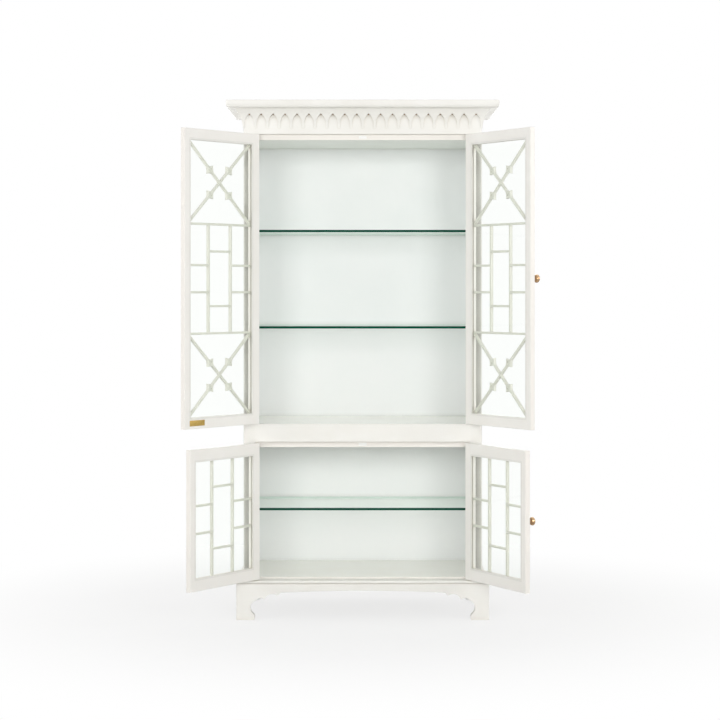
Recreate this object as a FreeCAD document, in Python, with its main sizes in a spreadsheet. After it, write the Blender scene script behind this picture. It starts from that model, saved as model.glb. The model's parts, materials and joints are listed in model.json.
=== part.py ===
import FreeCAD, Part
import math
import os
import re
import Sketcher

# Glazed display cabinet in two stages, standing on bracket feet, with its four doors open.
# X runs across the cabinet, the front faces -Y, Z is up from the floor.
# The origin is on the floor, under the middle of the carcass.

SIZES = {
    # carcass
    "carcass_width": 1000,
    "carcass_depth": 530,
    "frame_thickness": 22,
    "frame_edge_radius": 5,
    "stile_width": 49,
    "side_thickness": 20,
    "board_thickness": 16,
    "back_thickness": 12,
    # heights of the front, from the floor up
    "base_height": 165,
    "base_rail_height": 40,
    "lower_opening_height": 577.5,
    "waist_height": 75,
    "upper_opening_height": 1216,
    "frieze_height": 24.5,
    # how the boards stand to the openings
    "floor_step": 8,
    "head_board_show": 24,
    "head_board_lap": 4,
    "door_stop_gap": 0.5,
    # cornice
    "cove_height": 81.5,
    "cove_toe": 2,
    "cove_projection": 36,
    "cove_hollow": 8,
    "soffit_width": 21,
    "ovolo_radius": 12,
    "cornice_board_thickness": 19.5,
    "cornice_return_depth": 530,
    "lancet_pitch": 50,
    "lancet_width": 40,
    "lancet_spring": 20,
    "lancet_rise": 41,
    # base moulding and plinth
    "base_projection": 28.5,
    "bead_height": 15,
    "bead_radius": 6,
    "bracket_width": 183.5,
    "apron_edge_drop": 36,
    "apron_arch_rise": 8.5,
    "back_foot_width": 90,
    "back_rail_height": 40,
    "back_apron_thickness": 22,
    "block_size": 30,
    "block_floor_gap": 1,
    # shelves
    "shelf_thickness": 10,
    "shelf_setback": 59,
    "shelf_side_gap": 1.5,
    "shelf_back_gap": 5,
    "lower_shelf_height": 275.5,
    "middle_shelf_height": 399,
    "upper_shelf_height": 806,
    "bracket_width_along": 18,
    "bracket_drop": 16,
    "bracket_reach": 14,
    "bracket_thickness": 1.6,
    "bracket_front_inset": 60,
    "bracket_back_inset": 70,
    # doors
    "door_thickness": 22,
    "door_hinge_gap": 1.6,
    "door_meeting_gap": 2,
    "upper_door_foot_gap": 2,
    "upper_door_head_gap": 3,
    "lower_door_foot_gap": 4,
    "lower_door_head_gap": 4,
    "door_arris": 1.5,
    "hinge_stile_width": 46,
    "meeting_stile_width": 35,
    "upper_rail_width": 46,
    "lower_rail_width": 51,
    "rebate_width": 8,
    "rebate_lip": 13,
    "pane_thickness": 4,
    "pane_edge_gap": 1,
    "upper_left_angle": 128.8,
    "upper_right_angle": 122.3,
    "lower_left_angle": 125.2,
    "lower_right_angle": 119.3,
    # fretwork
    "fret_bar_width": 8.5,
    "fret_setback": 0.5,
    "boss_setback": 0.1,
    "fret_column_spacing": 132,
    "fret_band_height": 444.5,
    "upper_middle_bar_spacing": 223.4,
    "upper_side_bar_spacing": 110,
    "lower_middle_bar_spacing": 251,
    "lower_side_bar_spacing": 112,
    "boss_offset": 76,
    "boss_length": 56,
    "boss_breadth": 46,
    "boss_waist": 10.8,
    # hinges
    "pin_projection": 4,
    "knuckle_radius": 3.5,
    "hinge_pin_radius": 1.6,
    "hinge_pin_clearance": 0.05,
    "leaf_thickness": 0.7,
    "leaf_width": 19,
    "leaf_start": 4.5,
    "hinge_height": 64,
    "knuckle_gap": 0.2,
    "upper_hinge_inset": 110,
    "lower_hinge_inset": 70,
    # knobs and small fittings
    "knob_edge_inset": 17.5,
    "knob_reach": 36.5,
    "knob_radius": 18,
    "knob_rim_thickness": 8,
    "knob_rose_radius": 6,
    "knob_rose_thickness": 3,
    "knob_neck_radius": 4.5,
    "shank_radius": 2.5,
    "shank_length": 15,
    "shank_clearance": 0.05,
    "plate_length": 88,
    "plate_height": 26,
    "plate_thickness": 0.8,
    "plate_edge_inset": 26,
    "catch_width": 33,
    "catch_height": 12,
    "catch_depth": 14,
    "catch_clearance": 0.2,
    # how far every cut runs past what it cuts
    "overrun": 5,
}

# The hinges' pins, bores and knuckles are drawn with this many flats.
HINGE_FLAT_COUNT = 12

# Sizes and places worked out from the ones above. A name here may use any name before it.
PLACES = {
    "half_width": "carcass_width / 2",
    "half_opening": "carcass_width / 2 - stile_width",
    "inner_side": "carcass_width / 2 - side_thickness",
    "front": "-carcass_depth / 2",
    "rear": "carcass_depth / 2",
    "frame_back": "front + frame_thickness",
    "board_front": "front + frame_thickness + door_stop_gap",
    "back_face": "rear - back_thickness",
    "lower_opening_top": "base_height + lower_opening_height",
    "waist_top": "lower_opening_top + waist_height",
    "upper_opening_top": "waist_top + upper_opening_height",
    "cove_foot": "upper_opening_top + frieze_height",
    "soffit": "cove_foot + cove_height",
    "carcass_top": "soffit + ovolo_radius",
    "crown_projection": "cove_projection + soffit_width + ovolo_radius",
    "arch_radius": "(lancet_rise^2 + lancet_width^2 / 4) / lancet_width",
    "arch_lean": "sqrt(lancet_rise^2 + lancet_width^2 / 4)",
    "arch_reach": "arch_radius * lancet_rise / arch_lean - arch_radius + lancet_width / 2",
    "arch_lift": "arch_radius * lancet_width / 2 / arch_lean",
    "lower_floor_top": "base_height + floor_step",
    "lower_head_foot": "lower_opening_top - head_board_show",
    "upper_head_foot": "upper_opening_top - head_board_show",
    "carcass_lift": "base_height - base_rail_height",
    "apron_top": "base_height - bead_height",
    "apron_edge_height": "apron_top - apron_edge_drop",
    "lower_shelf_under": "lower_floor_top + lower_shelf_height",
    "middle_shelf_under": "waist_top + middle_shelf_height",
    "upper_shelf_under": "waist_top + upper_shelf_height",
    "leaf_end": "half_opening - door_meeting_gap / 2",
    "pane_near": "door_hinge_gap + hinge_stile_width",
    "pane_far": "leaf_end - meeting_stile_width",
    "pane_middle": "(pane_near + pane_far) / 2",
    "pane_width": "pane_far - pane_near",
    "inner_face": "pin_projection + door_thickness",
    "seat_face": "pin_projection + rebate_lip",
    "pane_back": "seat_face + pane_thickness",
    "hinge_bore_radius": f"(hinge_pin_radius + hinge_pin_clearance) / cos(180 deg / {HINGE_FLAT_COUNT})",
    "knob_place": "leaf_end - knob_edge_inset",
    "upper_door_foot": "waist_top + upper_door_foot_gap",
    "upper_door_head": "upper_opening_top - upper_door_head_gap",
    "lower_door_foot": "base_height + lower_door_foot_gap",
    "lower_door_head": "lower_opening_top - lower_door_head_gap",
    "upper_pane_foot": "upper_door_foot + upper_rail_width",
    "upper_pane_head": "upper_door_head - upper_rail_width",
    "lower_pane_foot": "lower_door_foot + lower_rail_width",
    "lower_pane_head": "lower_door_head - lower_rail_width",
    "upper_pane_level": "(upper_pane_foot + upper_pane_head) / 2",
    "lower_pane_level": "(lower_pane_foot + lower_pane_head) / 2",
    "panel_height": "(upper_pane_head - upper_pane_foot - fret_band_height - fret_bar_width) / 2",
    "panel_diagonal": "sqrt(pane_width^2 + panel_height^2)",
    "diagonal_run": "pane_width / panel_diagonal",
    "diagonal_rise": "panel_height / panel_diagonal",
}

# Shape of a bracket foot: how far each point lies from the outer edge, as a share of the bracket's
# width, and its height, as a share of the apron's edge height. Arcs pass through their middle point.
FOOT_SHARES = [
    ((0.420, 0.110), (0.400, 0.210)),
    ((0.320, 0.440), (0.444, 0.720)),
    ((0.545, 0.800), (0.640, 0.745)),
    ((0.790, 0.945), (0.935, 0.882)),
    ((0.966, 0.925), (1.000, 1.000)),
]
TOE_SHARE = 0.405

doc = FreeCAD.newDocument("DisplayCabinet")
sheet = doc.addObject("Spreadsheet::Sheet", "Sizes")
for row, (alias, size) in enumerate(SIZES.items(), 1):
    sheet.set(f"A{row}", alias)
    sheet.set(f"B{row}", str(size))
    sheet.setAlias(f"B{row}", alias)
doc.recompute()

pieces = []


def formula(text):
    """A sum in named sizes and places, as the document's expression engine reads it."""
    def owned(found):
        word = found.group(0)
        if word in SIZES:
            return "Sizes." + word
        if word in PLACES:
            return "Places." + word
        return word
    return re.sub(r"[a-z][a-z_]+", owned, text)


def value(text):
    return float(sheet.evalExpression(formula(text)))


def bind(feature, prop, text):
    feature.setExpression(prop, formula(text))


def keep(feature, label):
    """Make a feature one of the cabinet's sub-parts."""
    feature.Label = label
    pieces.append(feature)
    return feature


places = doc.addObject("App::VarSet", "Places")
for name, text in PLACES.items():
    places.addProperty("App::PropertyFloat", name)
    bind(places, name, text)
doc.recompute()

# Sketches, pads and pockets

NORMAL_SIGN = {"XY": 1, "XZ": -1, "YZ": 1}


def spot(x, y):
    return FreeCAD.Vector(value(x), value(y), 0)


def held_at(geometry, end, x, y):
    """Two constraints that hold a point of a sketch at named sizes, each with its formula."""
    return [
        (Sketcher.Constraint("DistanceX", -1, 1, geometry, end, value(x)), x),
        (Sketcher.Constraint("DistanceY", -1, 1, geometry, end, value(y)), y),
    ]


def trace(sketch, loop):
    """Draw a closed outline, and return its constraints. A corner (x, y) is reached by a line,
    and a corner (via_x, via_y, x, y) by an arc through the via point."""
    corners = [spot(*corner[-2:]) for corner in loop]
    starts = []
    ends = []
    rules = []
    for number, corner in enumerate(loop):
        before = corners[number - 1]
        after = corners[number]
        if len(corner) == 2:
            index = sketch.addGeometry(Part.LineSegment(before, after))
            starts.append((index, 1))
            ends.append((index, 2))
            continue
        via = spot(*corner[:2])
        through = Part.Circle(before, via, after)
        centre = through.Center
        circle = Part.Circle(centre, FreeCAD.Vector(0, 0, 1), through.Radius)
        angles = [math.atan2(point.y - centre.y, point.x - centre.x) for point in (before, after)]
        turns_left = (via - before).cross(after - via).z > 0
        if not turns_left:
            angles.reverse()
        index = sketch.addGeometry(Part.ArcOfCircle(circle, angles[0], angles[1]))
        starts.append((index, 1 if turns_left else 2))
        ends.append((index, 2 if turns_left else 1))
        point = sketch.addGeometry(Part.Point(via), True)
        rules += held_at(point, 1, *corner[:2])
        rules.append((Sketcher.Constraint("PointOnObject", point, 1, index), None))
    for number, corner in enumerate(loop):
        following = starts[(number + 1) % len(loop)]
        rules.append((Sketcher.Constraint("Coincident", *ends[number], *following), None))
        rules += held_at(*ends[number], *corner[-2:])
    return rules


def draw(body, name, plane, loops, offset):
    """A sketch of closed outlines on one of the body's planes, moved along its normal."""
    sketch = body.newObject("Sketcher::SketchObject", name + "_sketch")
    role = plane + "_Plane"
    support = [item for item in body.Origin.OriginFeatures if item.Role == role][0]
    sketch.AttachmentSupport = [(support, "")]
    sketch.MapMode = "FlatFace"
    bind(sketch, "AttachmentOffset.Base.z", offset)
    rules = []
    for loop in loops:
        rules += trace(sketch, loop)
    sketch.addConstraint([rule for rule, text in rules])
    for number, (rule, text) in enumerate(rules):
        if text is not None:
            bind(sketch, f"Constraints[{number}]", text)
    return sketch


def pad(body, name, plane, loops, low, high):
    """Add material inside the outlines, from low to high along the plane's axis."""
    start = low if NORMAL_SIGN[plane] > 0 else f"-({high})"
    feature = body.newObject("PartDesign::Pad", name)
    feature.Profile = draw(body, name, plane, loops, start)
    bind(feature, "Length", f"({high}) - ({low})")
    return feature


def pocket(body, name, plane, loops, low, high):
    """Take material away inside the outlines, from low to high along the plane's axis."""
    start = high if NORMAL_SIGN[plane] > 0 else f"-({low})"
    feature = body.newObject("PartDesign::Pocket", name)
    feature.Profile = draw(body, name, plane, loops, start)
    bind(feature, "Length", f"({high}) - ({low})")
    return feature


def rectangle(x_low, x_high, y_low, y_high):
    return [(x_low, y_low), (x_high, y_low), (x_high, y_high), (x_low, y_high)]


def new_body(label):
    return keep(doc.addObject("PartDesign::Body", label), label)


def box(name, x, y, z):
    """A plain block between two places on each axis."""
    block = doc.addObject("Part::Box", name)
    for letter, side, (low, high) in zip("xyz", ("Length", "Width", "Height"), (x, y, z)):
        bind(block, "Placement.Base." + letter, low)
        bind(block, side, f"({high}) - ({low})")
    return block


def board(label, x, y, z):
    return keep(box(label, x, y, z), label)


def roll(name, radius, bottom, length):
    """An upright bar of many flats on the hinge pin's axis. The radius is to its corners."""
    bar = doc.addObject("Part::Prism", name)
    bar.Polygon = HINGE_FLAT_COUNT
    bind(bar, "Circumradius", radius)
    bind(bar, "Height", length)
    bind(bar, "Placement.Base.z", bottom)
    return bar


def cut(name, base, tool):
    feature = doc.addObject("Part::Cut", name)
    feature.Base = base
    feature.Tool = tool
    return feature


def join(name, parts):
    feature = doc.addObject("Part::MultiFuse", name)
    feature.Shapes = parts
    return feature


def group(label, parts):
    """Separate solids that share one node."""
    feature = doc.addObject("Part::Compound", label)
    feature.Links = parts
    return keep(feature, label)


# Side panels, with folded metal brackets that carry the loose glass shelves

SHELVES = {
    "lower_shelf": "lower_shelf_under",
    "middle_shelf": "middle_shelf_under",
    "upper_shelf": "upper_shelf_under",
}
BRACKET_ROWS = {
    "front": "front + shelf_setback + bracket_front_inset",
    "back": "back_face - bracket_back_inset",
}
IN_SIDES = ("frame_back", "rear")
board("left_side_panel", ("-half_width", "-inner_side"), IN_SIDES, ("carcass_lift", "carcass_top"))
board("right_side_panel", ("inner_side", "half_width"), IN_SIDES, ("carcass_lift", "carcass_top"))


def bracket(name, side, y, top):
    """An angle, flat on the side panel, with its upper leg under the glass."""
    body = doc.addObject("PartDesign::Body", name)
    wall = f"{side} * inner_side"
    section = [
        (wall, top),
        (f"{wall} - {side} * bracket_reach", top),
        (f"{wall} - {side} * bracket_reach", f"{top} - bracket_thickness"),
        (f"{wall} - {side} * bracket_thickness", f"{top} - bracket_thickness"),
        (f"{wall} - {side} * bracket_thickness", f"{top} - bracket_drop"),
        (wall, f"{top} - bracket_drop"),
    ]
    pad(body, name + "_width", "XZ", [section],
        f"{y} - bracket_width_along / 2", f"{y} + bracket_width_along / 2")
    return body


brackets = []
for shelf, under in SHELVES.items():
    for place, y in BRACKET_ROWS.items():
        for side, hand in ((-1, "left"), (1, "right")):
            brackets.append(bracket(f"{hand}_{shelf}_{place}_bracket", side, y, under))
group("shelf_brackets", brackets)

for shelf, under in SHELVES.items():
    board(shelf,
          ("-inner_side + shelf_side_gap", "inner_side - shelf_side_gap"),
          ("front + shelf_setback", "back_face - shelf_back_gap"),
          (under, f"{under} + shelf_thickness"))

# Boards across the carcass, and the backs

ACROSS = ("-inner_side", "inner_side")


def catch_span(foot, clearance):
    """Heights of the catch, midway up the part of the board that shows."""
    middle = f"{foot} + head_board_show / 2"
    return (f"{middle} - catch_height / 2 - {clearance}", f"{middle} + catch_height / 2 + {clearance}")


def head_board(label, foot):
    """The board over an opening. It stops the doors, and its front edge holds the catch."""
    plank = box(label + "_plank", ACROSS, ("board_front", "back_face"),
                (foot, f"{foot} + head_board_show + head_board_lap"))
    hole = box(label + "_recess",
               ("-catch_width / 2 - catch_clearance", "catch_width / 2 + catch_clearance"),
               ("board_front - overrun", "board_front + catch_depth"), catch_span(foot, "catch_clearance"))
    return keep(cut(label, plank, hole), label)


def catch(name, foot):
    return box(name, ("-catch_width / 2", "catch_width / 2"),
               ("board_front", "board_front + catch_depth"), catch_span(foot, "0"))


head_board("top_panel", "upper_head_foot")
head_board("lower_top_panel", "lower_head_foot")
group("door_catches", [catch("upper_catch", "upper_head_foot"), catch("lower_catch", "lower_head_foot")])
board("upper_floor", ACROSS, ("frame_back", "back_face"), ("waist_top - board_thickness", "waist_top"))
board("lower_floor", ACROSS, ("board_front", "back_face"),
      ("lower_floor_top - board_thickness", "lower_floor_top"))
board("upper_back_panel", ACROSS, ("back_face", "rear"), ("waist_top", "carcass_top"))
board("lower_back_panel", ACROSS, ("back_face", "rear"), ("carcass_lift", "waist_top"))

# Face frame: two stiles with a rounded outer edge, and three rails between them


def frame_stile(label, side):
    body = new_body(label)
    inner = f"{side} * half_opening"
    outer = f"{side} * half_width"
    eased = f"{side} * (half_width - frame_edge_radius)"
    middle_x = f"{side} * (half_width - frame_edge_radius * (1 - sqrt(0.5)))"
    middle_y = "front + frame_edge_radius * (1 - sqrt(0.5))"
    section = [
        (inner, "front"),
        (eased, "front"),
        (middle_x, middle_y, outer, "front + frame_edge_radius"),
        (outer, "frame_back"),
        (inner, "frame_back"),
    ]
    pad(body, label + "_length", "XY", [section], "carcass_lift", "carcass_top")


frame_stile("left_frame_stile", -1)
frame_stile("right_frame_stile", 1)
BETWEEN_STILES = ("-half_opening", "half_opening")
IN_FRAME = ("front", "frame_back")
board("base_rail", BETWEEN_STILES, IN_FRAME, ("carcass_lift", "base_height"))
board("waist_rail", BETWEEN_STILES, IN_FRAME, ("lower_opening_top", "waist_top"))
board("frieze_rail", BETWEEN_STILES, IN_FRAME, ("upper_opening_top", "carcass_top"))

# Cornice: a crown moulding mitred round three sides, carved with pointed arches, and a board on top


def crown_section(face, outward):
    """The moulding's outline, from the face it is glued to. Outward is 1 or -1 along that axis."""
    def out(distance):
        return f"{face} + {outward} * ({distance})"
    chord_share = "cove_hollow / sqrt((cove_projection - cove_toe)^2 + cove_height^2)"
    return [
        (face, "cove_foot"),
        (out("cove_toe"), "cove_foot"),
        (out(f"(cove_toe + cove_projection) / 2 - cove_height * {chord_share}"),
         f"cove_foot + cove_height / 2 + (cove_projection - cove_toe) * {chord_share}",
         out("cove_projection"), "soffit"),
        (out("cove_projection + soffit_width"), "soffit"),
        (out("cove_projection + soffit_width + ovolo_radius * sqrt(0.5)"),
         "soffit + ovolo_radius * (1 - sqrt(0.5))",
         out("crown_projection"), "carcass_top"),
        (face, "carcass_top"),
    ]


def lancet(middle, foot):
    """A pointed arch, open at the foot."""
    half = "lancet_width / 2"
    spring = f"{foot} + lancet_spring"
    return [
        (f"{middle} - {half}", f"{foot} - overrun"),
        (f"{middle} + {half}", f"{foot} - overrun"),
        (f"{middle} + {half}", spring),
        (f"{middle} + arch_reach", f"{spring} + arch_lift", middle, f"{spring} + lancet_rise"),
        (f"{middle} - arch_reach", f"{spring} + arch_lift", f"{middle} - {half}", spring),
    ]


def mitre_corner(side, direction, reach, past):
    """A triangle that takes the corner off a moulding's end. Side is -1 at the left end."""
    return [
        (f"{side} * half_width", direction),
        (f"{side} * (half_width + {reach} + {past})", direction),
        (f"{side} * (half_width + {reach} + {past})", f"{direction} - ({reach} + {past})"),
    ]


front_crown = new_body("cornice_front")
pad(front_crown, "cornice_front_length", "YZ", [crown_section("front", -1)],
    "-half_width - crown_projection", "half_width + crown_projection")
pocket(front_crown, "cornice_front_mitres", "XY",
       [mitre_corner(side, "front", "crown_projection", "overrun") for side in (-1, 1)],
       "cove_foot - overrun", "carcass_top + overrun")


def carve(body, name, axis_role, plane, first, count, depth):
    """A row of pointed arches cut back to the face of the carcass."""
    arch = pocket(body, name, plane, [lancet(first, "cove_foot")], *depth)
    row = body.newObject("PartDesign::LinearPattern", name + "_row")
    row.Originals = [arch]
    axis = [item for item in body.Origin.OriginFeatures if item.Role == axis_role][0]
    row.Direction = (axis, [""])
    bind(row, "Occurrences", count)
    bind(row, "Length", f"lancet_pitch * ({count} - 1)")
    body.Tip = row


FRONT_COUNT = "floor(carcass_width / lancet_pitch + 0.1)"
SIDE_COUNT = "floor(cornice_return_depth / lancet_pitch + 0.1)"
carve(front_crown, "front_lancets", "X_Axis", "XZ",
      f"-lancet_pitch * ({FRONT_COUNT} - 1) / 2", FRONT_COUNT,
      ("front - crown_projection - overrun", "front"))

returns = []
for side, name in ((-1, "left_return"), (1, "right_return")):
    body = doc.addObject("PartDesign::Body", name)
    pad(body, name + "_length", "XZ", [crown_section(f"{side} * half_width", side)],
        "front - crown_projection", "front + cornice_return_depth")
    corner = [
        (f"{side} * half_width", "front"),
        (f"{side} * (half_width + crown_projection + overrun)", "front - crown_projection - overrun"),
        (f"{side} * half_width", "front - crown_projection - overrun"),
    ]
    pocket(body, name + "_mitre", "XY", [corner], "cove_foot - overrun", "carcass_top + overrun")
    depth = ("half_width", "half_width + crown_projection + overrun")
    if side < 0:
        depth = ("-half_width - crown_projection - overrun", "-half_width")
    carve(body, name + "_lancets", "Y_Axis", "YZ",
          f"front + cornice_return_depth / 2 - lancet_pitch * ({SIDE_COUNT} - 1) / 2", SIDE_COUNT, depth)
    returns.append(body)
group("cornice_returns", returns)

board("cornice_board", ("-half_width - crown_projection", "half_width + crown_projection"),
      ("front - crown_projection", "rear"), ("carcass_top", "carcass_top + cornice_board_thickness"))

# Base moulding: a round-nosed ledge, mitred round three sides


def bead_section(face, outward):
    def out(distance):
        return f"{face} + {outward} * ({distance})"
    nose = "base_projection - bead_radius * (1 - sqrt(0.5))"
    return [
        (face, "apron_top"),
        (out("base_projection - bead_radius"), "apron_top"),
        (out(nose), "apron_top + bead_radius * (1 - sqrt(0.5))",
         out("base_projection"), "apron_top + bead_radius"),
        (out("base_projection"), "base_height - bead_radius"),
        (out(nose), "base_height - bead_radius * (1 - sqrt(0.5))",
         out("base_projection - bead_radius"), "base_height"),
        (face, "base_height"),
    ]


bead_front = doc.addObject("PartDesign::Body", "bead_front")
pad(bead_front, "bead_front_length", "YZ", [bead_section("front", -1)],
    "-half_width - base_projection", "half_width + base_projection")
pocket(bead_front, "bead_front_mitres", "XY",
       [mitre_corner(side, "front", "base_projection", "overrun") for side in (-1, 1)],
       "apron_top - overrun", "base_height + overrun")
beads = [bead_front]
for side, name in ((-1, "bead_left"), (1, "bead_right")):
    body = doc.addObject("PartDesign::Body", name)
    pad(body, name + "_length", "XZ", [bead_section(f"{side} * half_width", side)],
        "front - base_projection", "rear")
    corner = [
        (f"{side} * half_width", "front"),
        (f"{side} * (half_width + base_projection + overrun)", "front - base_projection - overrun"),
        (f"{side} * half_width", "front - base_projection - overrun"),
    ]
    pocket(body, name + "_mitre", "XY", [corner], "apron_top - overrun", "base_height + overrun")
    beads.append(body)
group("base_moulding", beads)

# Plinth boards, sawn into bracket feet with scalloped wings and a shallow arch between


def foot_outline(low_end, high_end):
    """A plinth board seen square on, from the foot at its low end to the foot at its high end."""
    def place(end, inward, share_x, share_z):
        return (f"{end} + {inward} * bracket_width * {share_x}", f"apron_edge_height * {share_z}")
    outline = [(low_end, "apron_top"), (low_end, "0"), (f"{low_end} + bracket_width * {TOE_SHARE}", "0")]
    for via, corner in FOOT_SHARES:
        outline.append((*place(low_end, 1, *via), *place(low_end, 1, *corner)))
    middle = f"({low_end} + {high_end}) / 2"
    outline.append((middle, "apron_edge_height + apron_arch_rise", *place(high_end, -1, 1, 1)))
    # the far foot is the same arcs taken backwards
    corners = [(TOE_SHARE, 0)] + [corner for via, corner in FOOT_SHARES]
    for number in range(len(FOOT_SHARES) - 1, -1, -1):
        via = FOOT_SHARES[number][0]
        outline.append((*place(high_end, -1, *via), *place(high_end, -1, *corners[number])))
    outline += [(high_end, "0"), (high_end, "apron_top")]
    return outline


apron = new_body("front_apron")
pad(apron, "front_apron_board", "XZ",
    [foot_outline("-half_width - base_projection", "half_width + base_projection")],
    "front - base_projection", "front")
pocket(apron, "front_apron_mitres", "XY",
       [mitre_corner(side, "front", "base_projection", "overrun") for side in (-1, 1)],
       "-overrun", "apron_top + overrun")
for side, label in ((-1, "left_apron"), (1, "right_apron")):
    body = new_body(label)
    depth = ("half_width", "half_width + base_projection")
    if side < 0:
        depth = ("-half_width - base_projection", "-half_width")
    pad(body, label + "_board", "YZ", [foot_outline("front - base_projection", "rear")], *depth)
    corner = [
        (f"{side} * half_width", "front"),
        (f"{side} * (half_width + base_projection + overrun)", "front - base_projection - overrun"),
        (f"{side} * half_width", "front - base_projection - overrun"),
    ]
    pocket(body, label + "_mitre", "XY", [corner], "-overrun", "apron_top + overrun")

back_apron = new_body("back_apron")
pad(back_apron, "back_apron_board", "XZ", [[
    ("-half_width", "0"),
    ("-half_width + back_foot_width", "0"),
    ("-half_width + back_foot_width", "carcass_lift - back_rail_height"),
    ("half_width - back_foot_width", "carcass_lift - back_rail_height"),
    ("half_width - back_foot_width", "0"),
    ("half_width", "0"),
    ("half_width", "carcass_lift"),
    ("-half_width", "carcass_lift"),
]], "rear - back_apron_thickness", "rear")

blocks = []
for side, hand in ((-1, "left"), (1, "right")):
    for y, inward, place in (("front", 1, "front"), ("rear - back_apron_thickness", -1, "back")):
        name = f"{hand}_{place}_block"
        body = doc.addObject("PartDesign::Body", name)
        corner = [
            (f"{side} * half_width", y),
            (f"{side} * (half_width - block_size)", y),
            (f"{side} * half_width", f"{y} + {inward} * block_size"),
        ]
        pad(body, name + "_length", "XY", [corner], "block_floor_gap", "carcass_lift")
        blocks.append(body)
group("corner_blocks", blocks)

# Doors. A door is drawn shut, from its hinge pin: along the leaf, then from the front inwards.
# Side is 1 for a left door, whose leaf runs to the right, and -1 for a right door.

DOORS = {
    "upper_left": {"side": 1, "stage": "upper", "hinges": 3},
    "upper_right": {"side": -1, "stage": "upper", "hinges": 3},
    "lower_left": {"side": 1, "stage": "lower", "hinges": 2},
    "lower_right": {"side": -1, "stage": "lower", "hinges": 2},
}
for name, door in DOORS.items():
    door["angle"] = name + "_angle"
    door["foot"] = door["stage"] + "_door_foot"
    door["head"] = door["stage"] + "_door_head"
    door["pane"] = (door["stage"] + "_pane_foot", door["stage"] + "_pane_head")
    door["level"] = door["stage"] + "_pane_level"


def along(side, near, far):
    """A stretch of the leaf, as low and high places on the door's own X axis."""
    if side > 0:
        return (near, far)
    return (f"-({far})", f"-({near})")


def hang(feature, door, along_leaf="0", level="0"):
    """Put a piece where the open door holds it. It is drawn from the hinge pin on the floor, or
    from the point of the leaf that is given."""
    side = door["side"]
    turn = FreeCAD.Rotation(FreeCAD.Vector(0, 0, -side), value(door["angle"]))
    feature.Placement = FreeCAD.Placement(FreeCAD.Vector(0, 0, 0), turn)
    bind(feature, "Placement.Base.x",
         f"{-side} * half_opening + ({along_leaf}) * cos({door['angle']} * 1 deg)")
    bind(feature, "Placement.Base.y",
         f"front - pin_projection - {side} * ({along_leaf}) * sin({door['angle']} * 1 deg)")
    bind(feature, "Placement.Base.z", level)
    bind(feature, "Placement.Rotation.Angle", door["angle"])
    return feature


def hinge_levels(door):
    """Heights of the middles of a door's hinges."""
    inset = door["stage"] + "_hinge_inset"
    first = f"({door['foot']} + {inset} + hinge_height / 2)"
    last = f"({door['head']} - {inset} - hinge_height / 2)"
    steps = door["hinges"] - 1
    return [f"{first} + ({last} - {first}) * {number} / {steps}" for number in range(door["hinges"])]


def stile(label, door, near, far, eased_near):
    """One upright of the door's frame, with its outer long edges eased."""
    side = door["side"]
    body = new_body(label)
    edge, inner_edge = (near, far) if eased_near else (far, near)
    step = 1 if eased_near else -1
    section = [
        (f"{side} * ({inner_edge})", "pin_projection"),
        (f"{side} * ({edge} + {step} * door_arris)", "pin_projection"),
        (f"{side} * ({edge})", "pin_projection + door_arris"),
        (f"{side} * ({edge})", "inner_face - door_arris"),
        (f"{side} * ({edge} + {step} * door_arris)", "inner_face"),
        (f"{side} * ({inner_edge})", "inner_face"),
    ]
    pad(body, label + "_length", "XY", [section], door["foot"], door["head"])
    pane_low, pane_high = door["pane"]
    rebate = rectangle(*along(side, "pane_near - rebate_width", "pane_far + rebate_width"),
                       f"{pane_low} - rebate_width", f"{pane_high} + rebate_width")
    pocket(body, label + "_rebate", "XZ", [rebate], "seat_face", "inner_face + overrun")
    return hang(body, door)


def rail(name, side, low, high, edge_low):
    """One cross rail of the door's frame, between the stiles."""
    body = doc.addObject("PartDesign::Body", name)
    edge, inner_edge = (low, high) if edge_low else (high, low)
    step = 1 if edge_low else -1
    section = [
        ("pin_projection", inner_edge),
        ("pin_projection", f"{edge} + {step} * door_arris"),
        ("pin_projection + door_arris", edge),
        ("inner_face - door_arris", edge),
        ("inner_face", f"{edge} + {step} * door_arris"),
        ("inner_face", f"{inner_edge} - {step} * rebate_width"),
        ("seat_face", f"{inner_edge} - {step} * rebate_width"),
        ("seat_face", inner_edge),
    ]
    pad(body, name + "_length", "YZ", [section], *along(side, "pane_near", "pane_far"))
    return body


def bead_strips(name, door):
    """Four strips that hold the pane in its rebate."""
    side = door["side"]
    pane_low, pane_high = door["pane"]
    depth = ("pane_back", "inner_face")
    foot = f"{pane_low} - rebate_width"
    top = f"{pane_high} + rebate_width"
    return [
        box(name + "_near", along(side, "pane_near - rebate_width", "pane_near"), depth, (foot, top)),
        box(name + "_far", along(side, "pane_far", "pane_far + rebate_width"), depth, (foot, top)),
        box(name + "_foot", along(side, "pane_near", "pane_far"), depth, (foot, pane_low)),
        box(name + "_head", along(side, "pane_near", "pane_far"), depth, (pane_high, top)),
    ]


# Fretwork. Every outline here is on the leaf's own plane: along the leaf, then height.

FRET_DEPTH = ("pin_projection + fret_setback", "seat_face")
BOSS_DEPTH = ("pin_projection + boss_setback", "seat_face")


def bar_across(side, near, far, level):
    half = "fret_bar_width / 2"
    return rectangle(*along(side, near, far), f"{level} - {half}", f"{level} + {half}")


def columns(side, low, high):
    """The two upright bars."""
    half = "fret_bar_width / 2"
    bars = []
    for offset in ("-fret_column_spacing / 2", "+ fret_column_spacing / 2"):
        middle = f"pane_middle {offset}"
        bars.append(rectangle(*along(side, f"{middle} - {half}", f"{middle} + {half}"), low, high))
    return bars


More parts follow.
